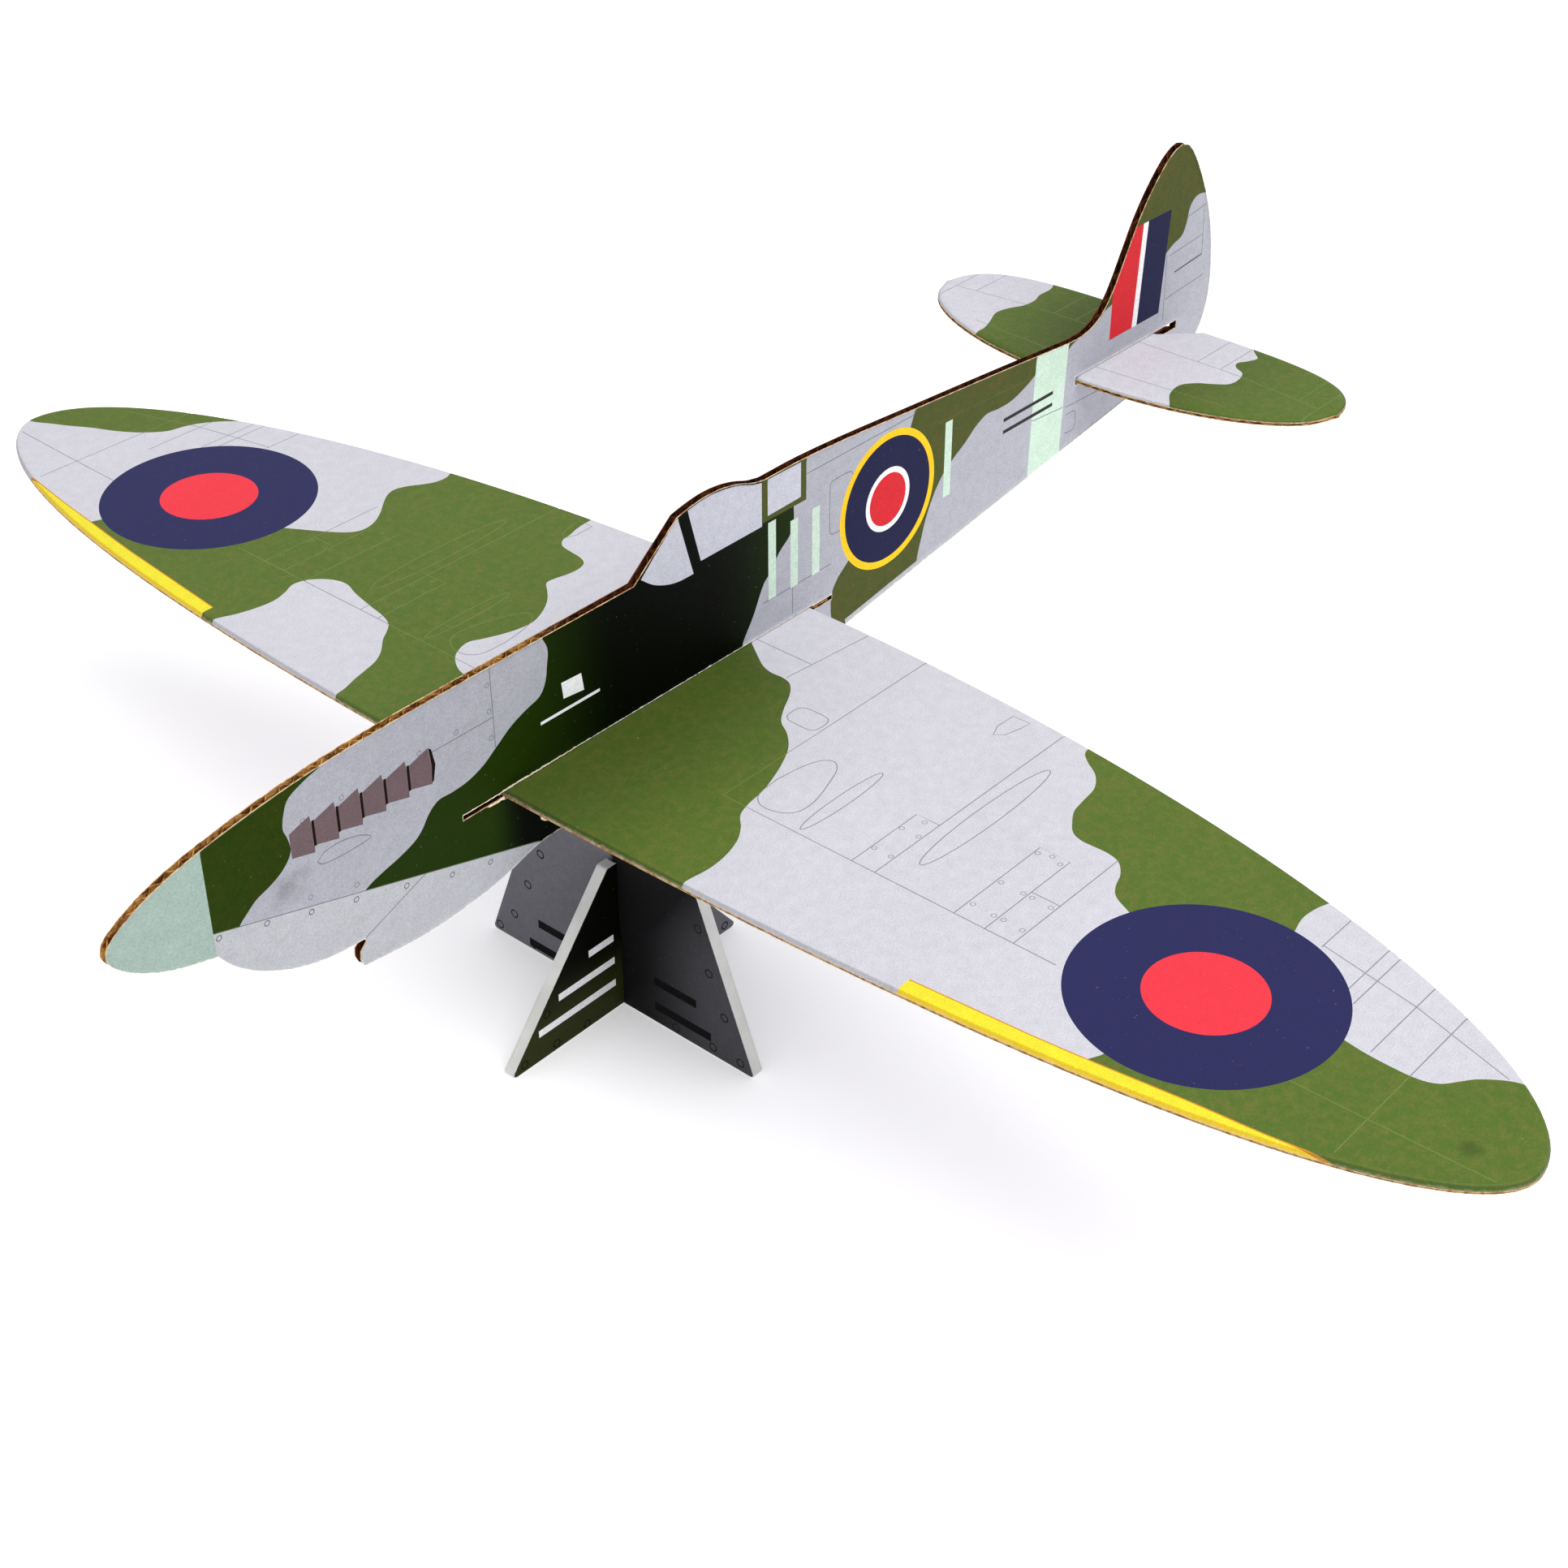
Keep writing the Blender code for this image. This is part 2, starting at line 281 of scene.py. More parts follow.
def add_piece(name, mesh, body, slot, node=None):
    """A mesh as a piece that rides a body, in place of a CAD node where one is given."""
    obj = add_object(name, mesh)
    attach(obj, body)
    if node is not None:
        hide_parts(node)


def closed_mesh(name, verts, faces, material):
    """A closed mesh with its faces turned outwards."""
    mesh = bpy.data.meshes.new(name)
    mesh.from_pydata(verts, [], faces)
    made = bmesh.new()
    made.from_mesh(mesh)
    bmesh.ops.recalc_face_normals(made, faces=made.faces)
    made.to_mesh(mesh)
    made.free()
    mesh.materials.append(material)
    return mesh


def press(distance, depth, width):
    """How far a pressed edge is down, at a distance from the cut."""
    return depth * np.clip(1.0 - distance / width, 0, 1) ** 2


def drawn_in(loop, middle):
    """The outline with the walls of a half-lap slot drawn in, so that the paper closes its gap."""
    loop = np.array(loop)
    wall = np.abs(np.abs(loop[:, 0] - middle) - SLOT_WALL) < 0.02
    loop[wall, 0] = middle + np.sign(loop[wall, 0] - middle) * (SLOT_WALL - SLOT_CLOSED)
    return loop


def triangulated(loops, prints):
    """A flat mesh of the sheet, cut along its outline and along the edges of every print."""
    verts, edges = [], []

    def add(loop):
        first, count = len(verts), len(loop)
        verts.extend(Vector(p) for p in loop)
        edges.extend((first + k, first + (k + 1) % count) for k in range(count))

    for loop in loops:
        add(loop)
    for _, group in prints:
        for loop in group:
            corners = np.asarray(loop, float)
            fine = divided(corners, PRINT_STEP)
            kept = {tuple(p) for p in corners}
            gap = edge_distance(fine, loops)
            add([p for p, d in zip(fine, gap) if d < PRINT_NEAR or tuple(p) in kept])
    verts.extend(Vector(p) for p in rings_inside(loops, PRESS_RINGS))
    flat, _, triangles, *_ = delaunay_2d_cdt(verts, edges, [], 0, WELD)
    points = np.array([(v.x, v.y) for v in flat])
    triangles = np.array([t for t in triangles if len(t) == 3])
    triangles = triangles[inside(points[triangles].mean(axis=1), loops)]
    used, index = np.unique(triangles, return_inverse=True)
    points, triangles = points[used], index.reshape(-1, 3)
    one, two, three = (points[triangles[:, k]] for k in range(3))
    (run_x, run_y), (rise_x, rise_y) = (two - one).T, (three - one).T
    clockwise = run_x * rise_y - run_y * rise_x < 0
    triangles[clockwise] = triangles[clockwise][:, ::-1]
    return points, triangles


def painted(centres, prints, paints):
    """The paints in use, and which of them each triangle has. Lines lie in their own paint on green."""
    paint = np.zeros(len(centres), int)
    names = ["base"]
    for name, group in prints:
        names += [n for n in (name, "line_on_green") if n not in names and n in paints]
        covered = inside(centres, group)
        if name == "line":
            green = np.isin(paint, [names.index(n) for n in names if n.endswith("green")])
            paint[covered & green] = names.index("line_on_green")
            covered &= ~green
        paint[covered] = names.index(name)
    return names, paint


def printed_skin(name, board, side, prints, paints, inner, edge, pressed, slot_middle=None):
    """One skin of a board. Each print is (paint, loops), and later ones lie over earlier ones."""
    node = board.skins[side]
    low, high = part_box(node)
    thickness = (high - low).dot(board.normal) / MM
    loops = board.loops(node)
    if slot_middle is not None:
        loops = [drawn_in(loop, slot_middle) for loop in loops]
    loops = [divided(loop, OUTLINE_STEP) for loop in loops]
    points, triangles = triangulated(loops, prints)
    names, paint = painted(points[triangles].mean(axis=1), prints, paints)
    gap = edge_distance(points, loops)
    depth = board.half - press(gap, *pressed)
    outer = [board.world(a, b, side * d) for (a, b), d in zip(points, depth)]
    lower = [board.world(a, b, side * (d - thickness)) for (a, b), d in zip(points, depth)]
    handed = board.a_axis.cross(board.b_axis).dot(board.normal) * side > 0
    tops = [tuple(t) if handed else tuple(t[::-1]) for t in triangles]
    ends = dict.fromkeys((t[k], t[(k + 1) % 3]) for t in tops for k in range(3))
    walls = [(a, b) for a, b in ends if (b, a) not in ends]
    count = len(points)
    faces = tops + [tuple(count + v for v in t[::-1]) for t in tops]
    faces += [(b, a, count + a, count + b) for a, b in walls]
    materials = [paints[n] for n in names] + [inner, edge]
    indices = list(paint) + [len(names)] * len(tops)
    if slot_middle is None:
        indices += [len(names) + 1] * len(walls)
    else:
        from_slot = np.abs(points[:, 0] - slot_middle)
        # Painted shade: walls inside the half-lap slot take a near-black ink.
        indices += [len(names) + (2 if max(from_slot[[a, b]]) < SLOT_WALL else 1) for a, b in walls]
        materials.append(paints["slot_wall"])
        gap[from_slot < SLOT_WALL + 1] = RIM_REACH
    mesh = bpy.data.meshes.new(name)
    mesh.from_pydata([*outer, *lower], [], faces)
    for material in materials:
        mesh.materials.append(material)
    mesh.polygons.foreach_set("material_index", indices)
    rim = mesh.attributes.new("rim", "FLOAT", "POINT")
    rim.data.foreach_set("value", np.tile(np.minimum(gap, RIM_REACH), 2).astype(np.float32))
    mesh.update()
    add_piece(name, mesh, board.body, SLOT_OF[node], node)


def crossings(loops, at):
    """Where a line across the board at the given station meets the outline, in order."""
    found = []
    for loop in loops:
        for one, two in segments(loop):
            if (one[0] > at) != (two[0] > at):
                t = (at - one[0]) / (two[0] - one[0])
                found.append(float(one[1] + t * (two[1] - one[1])))
    return sorted(found)


def flute_stations(loops, setback):
    """Where the fluted sheet is cut across: at even steps, and on both sides of each outline corner."""
    low = min(loop[:, 0].min() for loop in loops) + setback
    high = max(loop[:, 0].max() for loop in loops) - setback
    first = math.ceil(low / FLUTE_STEP) * FLUTE_STEP
    stations = set(np.arange(first, high, FLUTE_STEP).round(4)) | {low, high}
    for loop in loops:
        before, here, after = (np.roll(loop, k, axis=0)[:, 0] for k in (1, 0, -1))
        for turn in here[(here - before) * (after - here) <= 1e-9]:
            stations |= {turn - CORNER_GAP, turn + CORNER_GAP}
    return sorted(s for s in stations if low <= s <= high)


def flute_ring(board, points, drops, lifts, angle, verts):
    """One cut across the fluted sheet: its upper and lower points, added to verts."""
    reach = board.half - LINER - MEDIUM / 2.0
    ring = []
    for sign in (1, -1):
        for (a, b), drop, lift in zip(points, drops, lifts):
            centre = (lift - drop) / 2.0
            amplitude = max(0.02, reach - (lift + drop) / 2)
            slope = amplitude * math.tau / FLUTE_PITCH * math.cos(angle)
            thick = min(MEDIUM / 2.0 * math.sqrt(1.0 + slope * slope), MEDIUM * 0.9)
            wave = amplitude * math.sin(angle) + sign * thick
            limit = amplitude + MEDIUM / 2.0
            ring.append(len(verts))
            verts.append(board.world(a, b, centre + max(-limit, min(limit, wave))))
    return ring


def fluted_medium(name, board, material, high_press, low_press, phase=0, setback=0.12):
    """The corrugated sheet inside a board. Its wave runs along the board's a axis."""
    loops = board.loops(board.core)
    rows = FLUTE_ROWS
    verts, faces, runs = [], [], []
    previous = None
    for at in flute_stations(loops, setback):
        cuts = crossings(loops, at)
        spans = [(a + setback, b - setback) for a, b in zip(cuts[::2], cuts[1::2]) if b - a > 3 * setback]
        angle = math.tau * (at + phase) / FLUTE_PITCH
        column = []
        for start, stop in spans:
            inset = min(FLUTE_EDGE, (stop - start) / 2.5)
            stops = [start, start + inset * 0.35, start + inset, stop - inset, stop - inset * 0.35, stop]
            points = np.array([(at, s) for s in stops])
            gap = edge_distance(points, loops)
            drops, lifts = press(gap, *high_press), press(gap, *low_press)
            column.append(flute_ring(board, points, drops, lifts, angle, verts))
        if previous is not None and len(previous) == len(column):
            for left, right in zip(previous, column):
                for k in range(rows - 1):
                    faces.append((left[k], right[k], right[k + 1], left[k + 1]))
                    faces.append((left[rows + k + 1], right[rows + k + 1], right[rows + k], left[rows + k]))
                faces.append((left[rows], right[rows], right[0], left[0]))
                faces.append((left[rows - 1], right[rows - 1], right[2 * rows - 1], left[2 * rows - 1]))
        else:
            runs += [(previous, True), (column, False)]
        previous = column
    runs.append((previous, True))
    for column, last in runs:
        for ring in column or []:
            for k in range(rows - 1):
                face = (ring[k], ring[k + 1], ring[rows + k + 1], ring[rows + k])
                faces.append(face if last else face[::-1])
    mesh = closed_mesh(name, verts, faces, material)
    add_piece(name, mesh, board.body, SLOT_OF[board.core], board.core)


def torn_strip(name, body, start, end, reach, thickness, material, slot, ragged):
    """A ragged strip of paper left standing beside a cut: its root runs from start to end."""
    rng = random.Random(name)
    start, end, reach = Vector(start), Vector(end), Vector(reach)
    along = end - start
    count = max(4, int(along.length / STRIP_STEP))
    skin = along.cross(reach).normalized() * thickness
    verts, faces = [], []
    for k in range(count + 1):
        share = k / count
        taper = min(1, 0.35 + 6.0 * share, 0.35 + 6.0 * (1.0 - share))
        root = start + along * share
        tip = root + reach * taper * rng.uniform(1.0 - ragged, 1) + skin * rng.uniform(-0.5, 0.5)
        verts += [DATUM + p * MM for p in (root, tip, tip + skin, root + skin)]
    for here in range(0, 4 * count, 4):
        for i, j in ((0, 1), (1, 2), (2, 3), (3, 0)):
            faces.append((here + i, here + j, here + 4 + j, here + 4 + i))
    last = 4 * count
    faces += [(3, 2, 1, 0), (last, last + 1, last + 2, last + 3)]
    add_piece(name, closed_mesh(name, verts, faces, material), body, slot)


# ---------- materials


def linear(rgb):
    """Linear colour from display values of 0 to 255."""
    shares = [c / 255.0 for c in rgb]
    return [c / 12.92 if c <= 0.04045 else ((c + 0.055) / 1.055) ** 2.4 for c in shares]


PAPER_WHITE = linear((228, 222, 208))
PRINT_ROUGHNESS = 0.56
SHADED = 0.05  # what is left of an ink's colour where its painted shade is full
ROLLED_SHADE_LEFT = 0.2  # and where painted shade darkens the print that rolls over an edge


class Shader:
    """A small helper for building one node material."""

    def __init__(self, name, roughness, specular):
        self.material = bpy.data.materials.new(name)
        self.material.use_nodes = True
        self.tree = self.material.node_tree
        self.principled = self.tree.nodes["Principled BSDF"]
        self.principled.inputs["Roughness"].default_value = roughness
        self.principled.inputs["Specular IOR Level"].default_value = specular
        self.place = self.tree.nodes.new("ShaderNodeTexCoord").outputs["Object"]

    def set(self, socket, value):
        if isinstance(value, bpy.types.NodeSocket):
            self.tree.links.new(value, socket)
        else:
            socket.default_value = value

    def node(self, kind, **given):
        node = self.tree.nodes.new("ShaderNode" + kind)
        for name, value in given.items():
            self.set(node.inputs[name], value)
        return node

    def noise(self, scale, detail=3, roughness=0.6):
        node = self.node("TexNoise", Scale=scale, Detail=detail, Roughness=roughness, Vector=self.place)
        return node.outputs["Fac"]

    def math(self, operation, a, b=0, c=0):
        node = self.node("Math")
        node.operation = operation
        for socket, value in zip(node.inputs, (a, b, c)):
            self.set(socket, value)
        return node.outputs[0]

    def times(self, a, b):
        return self.math("MULTIPLY", a, b)

    def plus(self, a, b):
        return self.math("ADD", a, b)

    def less(self, a, b):
        return self.math("SUBTRACT", a, b)

    def ramp(self, value, low, high, to_low=0, to_high=1):
        node = self.node("MapRange")
        node.interpolation_type = "SMOOTHSTEP"
        for socket, given in zip(node.inputs, (value, low, high, to_low, to_high)):
            self.set(socket, given)
        return node.outputs["Result"]

    def mix(self, factor, a, b, mode="MIX"):
        """Mixes two colours, each of them a socket, a linear list or a tuple of display values."""
        node = self.node("Mix")
        node.data_type = "RGBA"
        node.blend_type = mode
        self.set(node.inputs[0], factor)
        for socket, value in ((node.inputs[6], a), (node.inputs[7], b)):
            value = linear(value) if isinstance(value, tuple) else value
            self.set(socket, (*value, 1) if isinstance(value, list) else value)
        return node.outputs[2]

    def axis(self, name):
        return self.node("SeparateXYZ", Vector=self.place).outputs[name]

    # Millimetres from the datum: x is ahead, y to port and z up.

    def x(self):
        return self.math("DIVIDE", self.less(self.axis("X"), DATUM.x), MM)

    def y(self):
        return self.math("DIVIDE", self.axis("Y"), MM)

    def z(self):
        return self.math("DIVIDE", self.less(self.axis("Z"), DATUM.z), MM)

    def away(self, value, middle):
        return self.math("ABSOLUTE", self.less(value, middle))

    def attribute(self, name):
        node = self.node("Attribute")
        node.attribute_name = name
        return node.outputs["Fac"]

    def bump(self, height, strength, distance=0.0001):
        node = self.node("Bump", Strength=strength, Distance=distance, Height=height)
        self.set(self.principled.inputs["Normal"], node.outputs["Normal"])

    def colour(self, value):
        self.set(self.principled.inputs["Base Color"], value)


def ink(name, rgb, flute_axis, shade, gloss, wear, grain=1, second=None, rolled_shade=0, rolled_shade_rgb=None):
    """Printed paper: ink with a fine grain, paler flecks, worn cut edges and the flutes' faint ribs.

    A second ink, where given, is mottled into the first, and shade, where given, is painted shade over it.
    Where the skin rolls over the board's edge, painted shade deepens the print by the given share.
    """
    s = Shader("ink_" + name, PRINT_ROUGHNESS, gloss)
    colour = linear(rgb)
    fine = s.noise(2900, 2)
    middle = s.noise(420, 4)
    broad = s.noise(38, 3)
    tone = s.math("MULTIPLY_ADD", fine, 0.60 * grain, 1.0 - 0.30 * grain)
    tone = s.math("MULTIPLY_ADD", middle, 0.24 * grain, s.less(tone, 0.12 * grain))
    tone = s.math("MULTIPLY_ADD", broad, 0.10, s.less(tone, 0.05))
    if second is not None:
        mottle = s.ramp(s.noise(640, 5, 0.75), 0.40, 0.66, 0, 0.55)
        colour = s.mix(mottle, colour, second)
    base = s.mix(1, colour, tone, "MULTIPLY")
    # Painted shade: the ink darkens where the shade is full.
    if shade is not None:
        base = s.mix(shade(s), base, [c * SHADED for c in linear(rgb)])
    # Painted shade on the band where the skin rolls over the board's edge.
    if rolled_shade:
        rolled_shade_colour = [c * ROLLED_SHADE_LEFT for c in linear(rgb)] if rolled_shade_rgb is None else rolled_shade_rgb
        base = s.mix(s.ramp(s.attribute("rim"), 0.55, 0.30, 0, rolled_shade), base, rolled_shade_colour)
    fleck = s.ramp(s.noise(1500, 1), 0.74, 0.82, 0, 0.10)
    base = s.mix(fleck, base, PAPER_WHITE)
    worn = s.plus(s.attribute("rim"), s.times(s.noise(900, 3), 0.45))
    base = s.mix(s.ramp(worn, 0.22, 0.42, wear, 0), base, PAPER_WHITE)
    s.colour(base)
    dull = s.math("MULTIPLY_ADD", middle, 0.16, PRINT_ROUGHNESS - 0.08)
    s.set(s.principled.inputs["Roughness"], dull)
    rib = s.math("SINE", s.times(s.axis(flute_axis), math.tau / (FLUTE_PITCH * MM)))
    height = s.math("MULTIPLY_ADD", rib, 0.06, s.plus(s.times(fine, 0.35), middle))
    s.bump(height, 0.35)
    return s.material


def kraft(name, dark, light, flecks, hollow_shade_level=0.5):
    """Brown fluting paper, torn, with pale fibres and dark patches: the paper's own mottle, and painted shade
    of the flutes' hollows.
    """
    s = Shader(name, 0.92, 0.12)
    fibre = s.noise(1700, 5, 0.7)
    patch = s.noise(520, 4, 0.65)
    # Painted shade: the dark patches stand for shade in the flutes' hollows, mixed with the paper's mottle.
    base = s.mix(s.ramp(patch, hollow_shade_level - 0.10, hollow_shade_level + 0.12), dark, light)
    base = s.mix(s.times(fibre, 0.35), base, (96, 56, 24))
    base = s.mix(s.ramp(s.noise(1100, 2), 0.66, 0.74, 0, flecks), base, (222, 182, 130))
    s.colour(base)
    s.bump(s.plus(fibre, patch), 0.8, 0.0002)
    return s.material


def profile_kraft(name):
    """The profile board's fluting: very dark at the back, tanner along the cowling and the nose."""
    s = Shader(name, 0.92, 0.12)
    x = s.x()
    fibre = s.noise(1700, 5, 0.7)
    patch = s.noise(520, 4, 0.65)
    mottle = s.ramp(patch, 0.40, 0.62)
    rear = s.mix(mottle, (26, 9, 3), (88, 42, 14))
    nose = s.mix(mottle, (104, 62, 26), (204, 152, 84))
    above = s.ramp(s.z(), 2, 8)
    ahead = s.times(s.ramp(x, 12, 34), above)
    base = s.mix(ahead, rear, nose)
    fleck = s.ramp(s.noise(1100, 2), 0.68, 0.75, 0, 0.6)
    fleck = s.times(fleck, s.math("MULTIPLY_ADD", ahead, 0.8, 0.2))
    s.colour(s.mix(fleck, base, (226, 184, 128)))
    s.bump(s.plus(fibre, patch), 0.8, 0.0002)
    return s.material


def cut_paper(name, light, dark):
    """The cut edge of a skin: torn pale fibres with brown showing through."""
    s = Shader(name, 0.9, 0.15)
    base = s.mix(s.ramp(s.noise(700, 4), 0.42, 0.62), light, dark)
    s.colour(s.mix(s.times(s.noise(3200, 2), 0.35), base, (150, 112, 70)))
    s.bump(s.noise(2400, 4), 0.7)
    return s.material


def far_cut(name):
    """The starboard skin's cut edge: dark brown at the back, pale and torn towards the nose."""
    s = Shader(name, 0.9, 0.12)
    torn = s.ramp(s.noise(700, 4), 0.42, 0.62)
    rear = s.mix(torn, (112, 62, 26), (46, 20, 8))
    nose = s.mix(torn, (224, 200, 160), (160, 108, 58))
    s.colour(s.mix(s.ramp(s.x(), 8, 60), rear, nose))
    s.bump(s.noise(2400, 4), 0.7)
    return s.material


def white_board(name):
    """Pressed white board: its cut edge is smooth, with faint layers and a little dust."""
    s = Shader(name, 0.88, 0.2)
    layers = s.noise(120, 3, 0.5)
    fibre = s.noise(2200, 4, 0.7)
    base = s.mix(s.ramp(layers, 0.35, 0.7), (216, 217, 214), (203, 204, 200))
    dust = s.ramp(s.noise(90, 5, 0.7), 0.66, 0.76, 0, 0.3)
    base = s.mix(dust, base, (170, 168, 162))
    s.colour(s.mix(s.times(fibre, 0.15), base, (180, 178, 170)))
    s.bump(fibre, 0.3)
    return s.material


def nose_shade_and_soot(s):
    """Painted shade that deepens the print towards the nose, with soot smudged below and behind the exhausts.
    """
    x = s.x()
    z = s.z()
    # Painted shade: the print darker towards the nose.
    painted_nose_shade = s.ramp(x, 4, 60, 0, 0.12)
    smudge = s.times(s.ramp(s.away(x, 89), 7, 1), s.ramp(z, 10.5, 8))
    smudge = s.times(smudge, s.ramp(z, 1.5, 5))
    smudge = s.times(smudge, s.ramp(s.noise(260, 4), 0.38, 0.66, 0.05, 0.27))
    return s.plus(painted_nose_shade, smudge)


def root_shade_and_stain(s):
    """Painted shade that deepens the print beside the middle of the wing, by the fuselage, and a thumb mark
    near the port tip.
    """
    # Painted shade: the print darker towards the wing's root.
    root = s.ramp(s.math("ABSOLUTE", s.y()), 4, 46, 0.38, 0)
    across = s.less(s.y(), 189.3)
    ahead = s.less(s.x(), 5.1)
    squares = s.plus(s.times(across, across), s.times(ahead, ahead))
    ragged = s.math("MULTIPLY_ADD", s.noise(500, 3), 1.6, s.math("SQRT", squares))
    return s.plus(root, s.ramp(ragged, 1.6, 3.6, 0.30, 0))


def crossing_shade(s):
    """Painted shade that darkens towards the middle and the top of the stand's cross panel, on its port half.

    The long panel shares this ink and stays clear of the shade, away from the crossing.
    """
    beside = s.ramp(s.away(s.y(), 1), 30, 5, 0.60, 1)
    above = s.ramp(s.z(), -52, -14, 0, 0.45)
    port = s.ramp(s.y(), -1, 1)
    on_cross = s.ramp(s.away(s.x(), CROSS_X), 2.4, 1.8)
    return s.times(s.plus(beside, above), s.times(port, on_cross))


def long_shade(s):
    """Painted shade that darkens towards the top of the stand's long panel, on the nose side of the crossing.
    """
    return s.ramp(s.z(), -66, -50, 0, 1)


def painted_side_shade(s):
    """Deep painted shade low on the middle of the fuselage side."""
    x = s.x()
    ahead = s.ramp(x, 34, 4)
    behind = s.ramp(x, -58, -22)
    below_wing = s.times(s.ramp(s.z(), 3, -2.5), s.ramp(x, 42, 32))
    return s.times(s.math("MAXIMUM", ahead, below_wing), behind)


def wing_ink(name, rgb, shade=None, second=None, rolled_shade_rgb=None):
    # Wing inks darken with painted shade where the skin rolls over the edge.
    return ink("wing_" + name, rgb, "Y", shade, 0.24, 0.15, second=second, rolled_shade=0.38, rolled_shade_rgb=rolled_shade_rgb)


def side_ink(name, rgb, shade=None, second=None):
    return ink("side_" + name, rgb, "X", shade, 0.04, 0.9, second=second)


def stand_ink(name, rgb, shade=None):
    return ink("stand_" + name, rgb, "Z", shade, 0.04, 0.25, grain=1.1)


def paints_of(make, inks):
    """Inks by paint name. The base paint of every sheet is a grey."""
    return {name: make("grey" if name == "base" else name, *given) for name, given in inks.items()}


wing_paints = paints_of(wing_ink, {
    "base": ((196, 195, 203),), "green": ((76, 102, 30), root_shade_and_stain, (108, 108, 44)), "navy": ((28, 29, 80),),
    # Painted shade: yellow's last colour is the shaded orange of its band rolled over the edge.
    "red": ((226, 48, 63),), "yellow": ((226, 213, 40), None, None, (190, 96, 8)), "amber": ((204, 136, 30),),
    "line": ((132, 132, 141),), "line_on_green": ((104, 122, 60),),
})
side_paints = paints_of(side_ink, {
    "base": ((165, 166, 175), nose_shade_and_soot), "green": ((68, 78, 36), nose_shade_and_soot, (92, 80, 40)),
    # Painted shade: the nose's and the middle's greens on this line are darker copies of the camouflage
    # green.
    "nose_green": ((32, 52, 0), None, (48, 54, 2)), "dark_green": ((26, 44, 2), painted_side_shade),
    "mint": ((147, 166, 158),), "band": ((191, 212, 196),), "belly": ((169, 171, 176),),
    "pane": ((189, 190, 201),), "navy": ((31, 32, 64),), "red": ((201, 41, 50),),
    "white": ((228, 228, 231),), "yellow": ((238, 190, 34),), "line": ((108, 110, 118),),
    "dark_line": ((48, 44, 44),), "line_on_green": ((80, 92, 50),), "mauve": ((100, 84, 88),),
    "black": ((22, 10, 8),),
})
stand_paints = paints_of(stand_ink, {
    "base": ((102, 101, 107), crossing_shade), "black": ((42, 46, 18), long_shade), "ring": ((30, 28, 30),),
    "ring_on_black": ((10, 11, 4),), "pale": ((230, 230, 232),), "dark": ((5, 4, 5),),
    # Painted shade for the walls inside the half-lap slot.
    "slot_wall": ((26, 26, 24),),
})
paper_inner = kraft("paper_inner", (92, 56, 26), (176, 124, 70), 0.2)
wing_flute = kraft("wing_flute", (66, 36, 16), (204, 158, 104), 0.5, 0.42)
body_flute = profile_kraft("body_flute")
torn_edge = cut_paper("torn_edge", (216, 186, 142), (160, 116, 68))
side_edge = cut_paper("side_edge", (226, 196, 150), (164, 108, 56))
far_edge = far_cut("far_edge")
burr_paper = cut_paper("burr_paper", (240, 232, 212), (214, 190, 150))
flap_paper = kraft("flap_paper", (70, 34, 16), (150, 92, 48), 0.3)
crushed_paper = cut_paper("crushed_paper", (226, 182, 128), (196, 146, 92))
stand_edge = white_board("stand_edge")

# ---------- prints

WING_LINE = 0.22
ROUNDEL_OUT = 136  # from the middle of the wing to a roundel's


class Print(list):
    """Layers of print as (paint, loops), from back to front."""

    def lay(self, paint, *loops):
        self.append((paint, loops))


def mirrored(group):
    return [[(-a, b) for a, b in loop] for loop in group]


def rivets(points, radius=0.5, width=0.16):
    found = []
    for a, b in points:
        found += outline(circle(a, b, radius, 16), width)
    return found


def wing_lines():
    """Panel lines of one wing half, drawn for the port side."""
    root = [(0, -35.8), (16, -35.8)], [(15.5, -28.5), (16.6, -40), (18.2, -56)]
    shapes = (
        smooth([
            (26, -17), (31.5, -17), (32.6, -18.2), (32.6, -21.4), (31.5, -22.6), (26, -22.6), (24.8, -21.4),
            (24.8, -18.2), (26, -17),
        ], 3)[:-1],
        smooth([
            (38, 0), (38.6, 6), (41, 8.5), (44.6, 8.4), (47.6, 6.4), (48.4, 3), (47.8, -1), (46.4, -5.5),
            (44.6, -10), (42.4, -11.8), (40.2, -10.2), (38.8, -6), (38, 0),
        ], 4)[:-1],
        ellipse(52.1, -2.7, 1.5, 12.2),
        ellipse(76, -16.7, 2.4, 20.2),
        [(59.2, -47.6), (59, -42.6), (60.2, -39.6), (62, -41.2), (63, -45), (63.3, -47.6)],
    )
    panels = (
        [(71.1, 10.8), (71.1, -56)], [(65.6, 10.8), (65.6, -8.6), (71.1, -8.6)],
        [(89.5, 10.8), (89.5, -15.3), (96.4, -15.3), (96.4, 10.8)], [(96.4, -3.3), (102.8, -3.3)],
        [(102.8, 10.8), (102.8, -22)], [(142, 10.2), (175, 9.7), (196, 9.2)], [(144.5, -24), (144.5, -38)],
        [(154, -16), (154, -36)], [(156.7, -14), (156.7, -35)], [(165.3, -5), (165.3, -30)],
        [(173.3, 20), (173.3, -26)], [(144.5, -24.6), (165.3, -20.4), (186, -14)],
    )
    fixings = (
        [(66.3, 5), (70.3, 5), (66.3, -3.2), (70.3, -3.2), (68.3, -7.5)],
        [(90.5, 6.5), (95.4, 6.7), (90.5, -2), (95.5, -2), (90.2, -13.6), (95.4, -13.5), (92.9, -14.5)],
        [(97.5, 6.6), (101.8, 6.8), (97.5, -2), (101.8, -1.8)],
    )
    groups = [[stroke(run, WING_LINE)] for run in root] + [outline(run, WING_LINE) for run in shapes]
    return groups + [[stroke(run, WING_LINE)] for run in panels] + [rivets(points) for points in fixings]


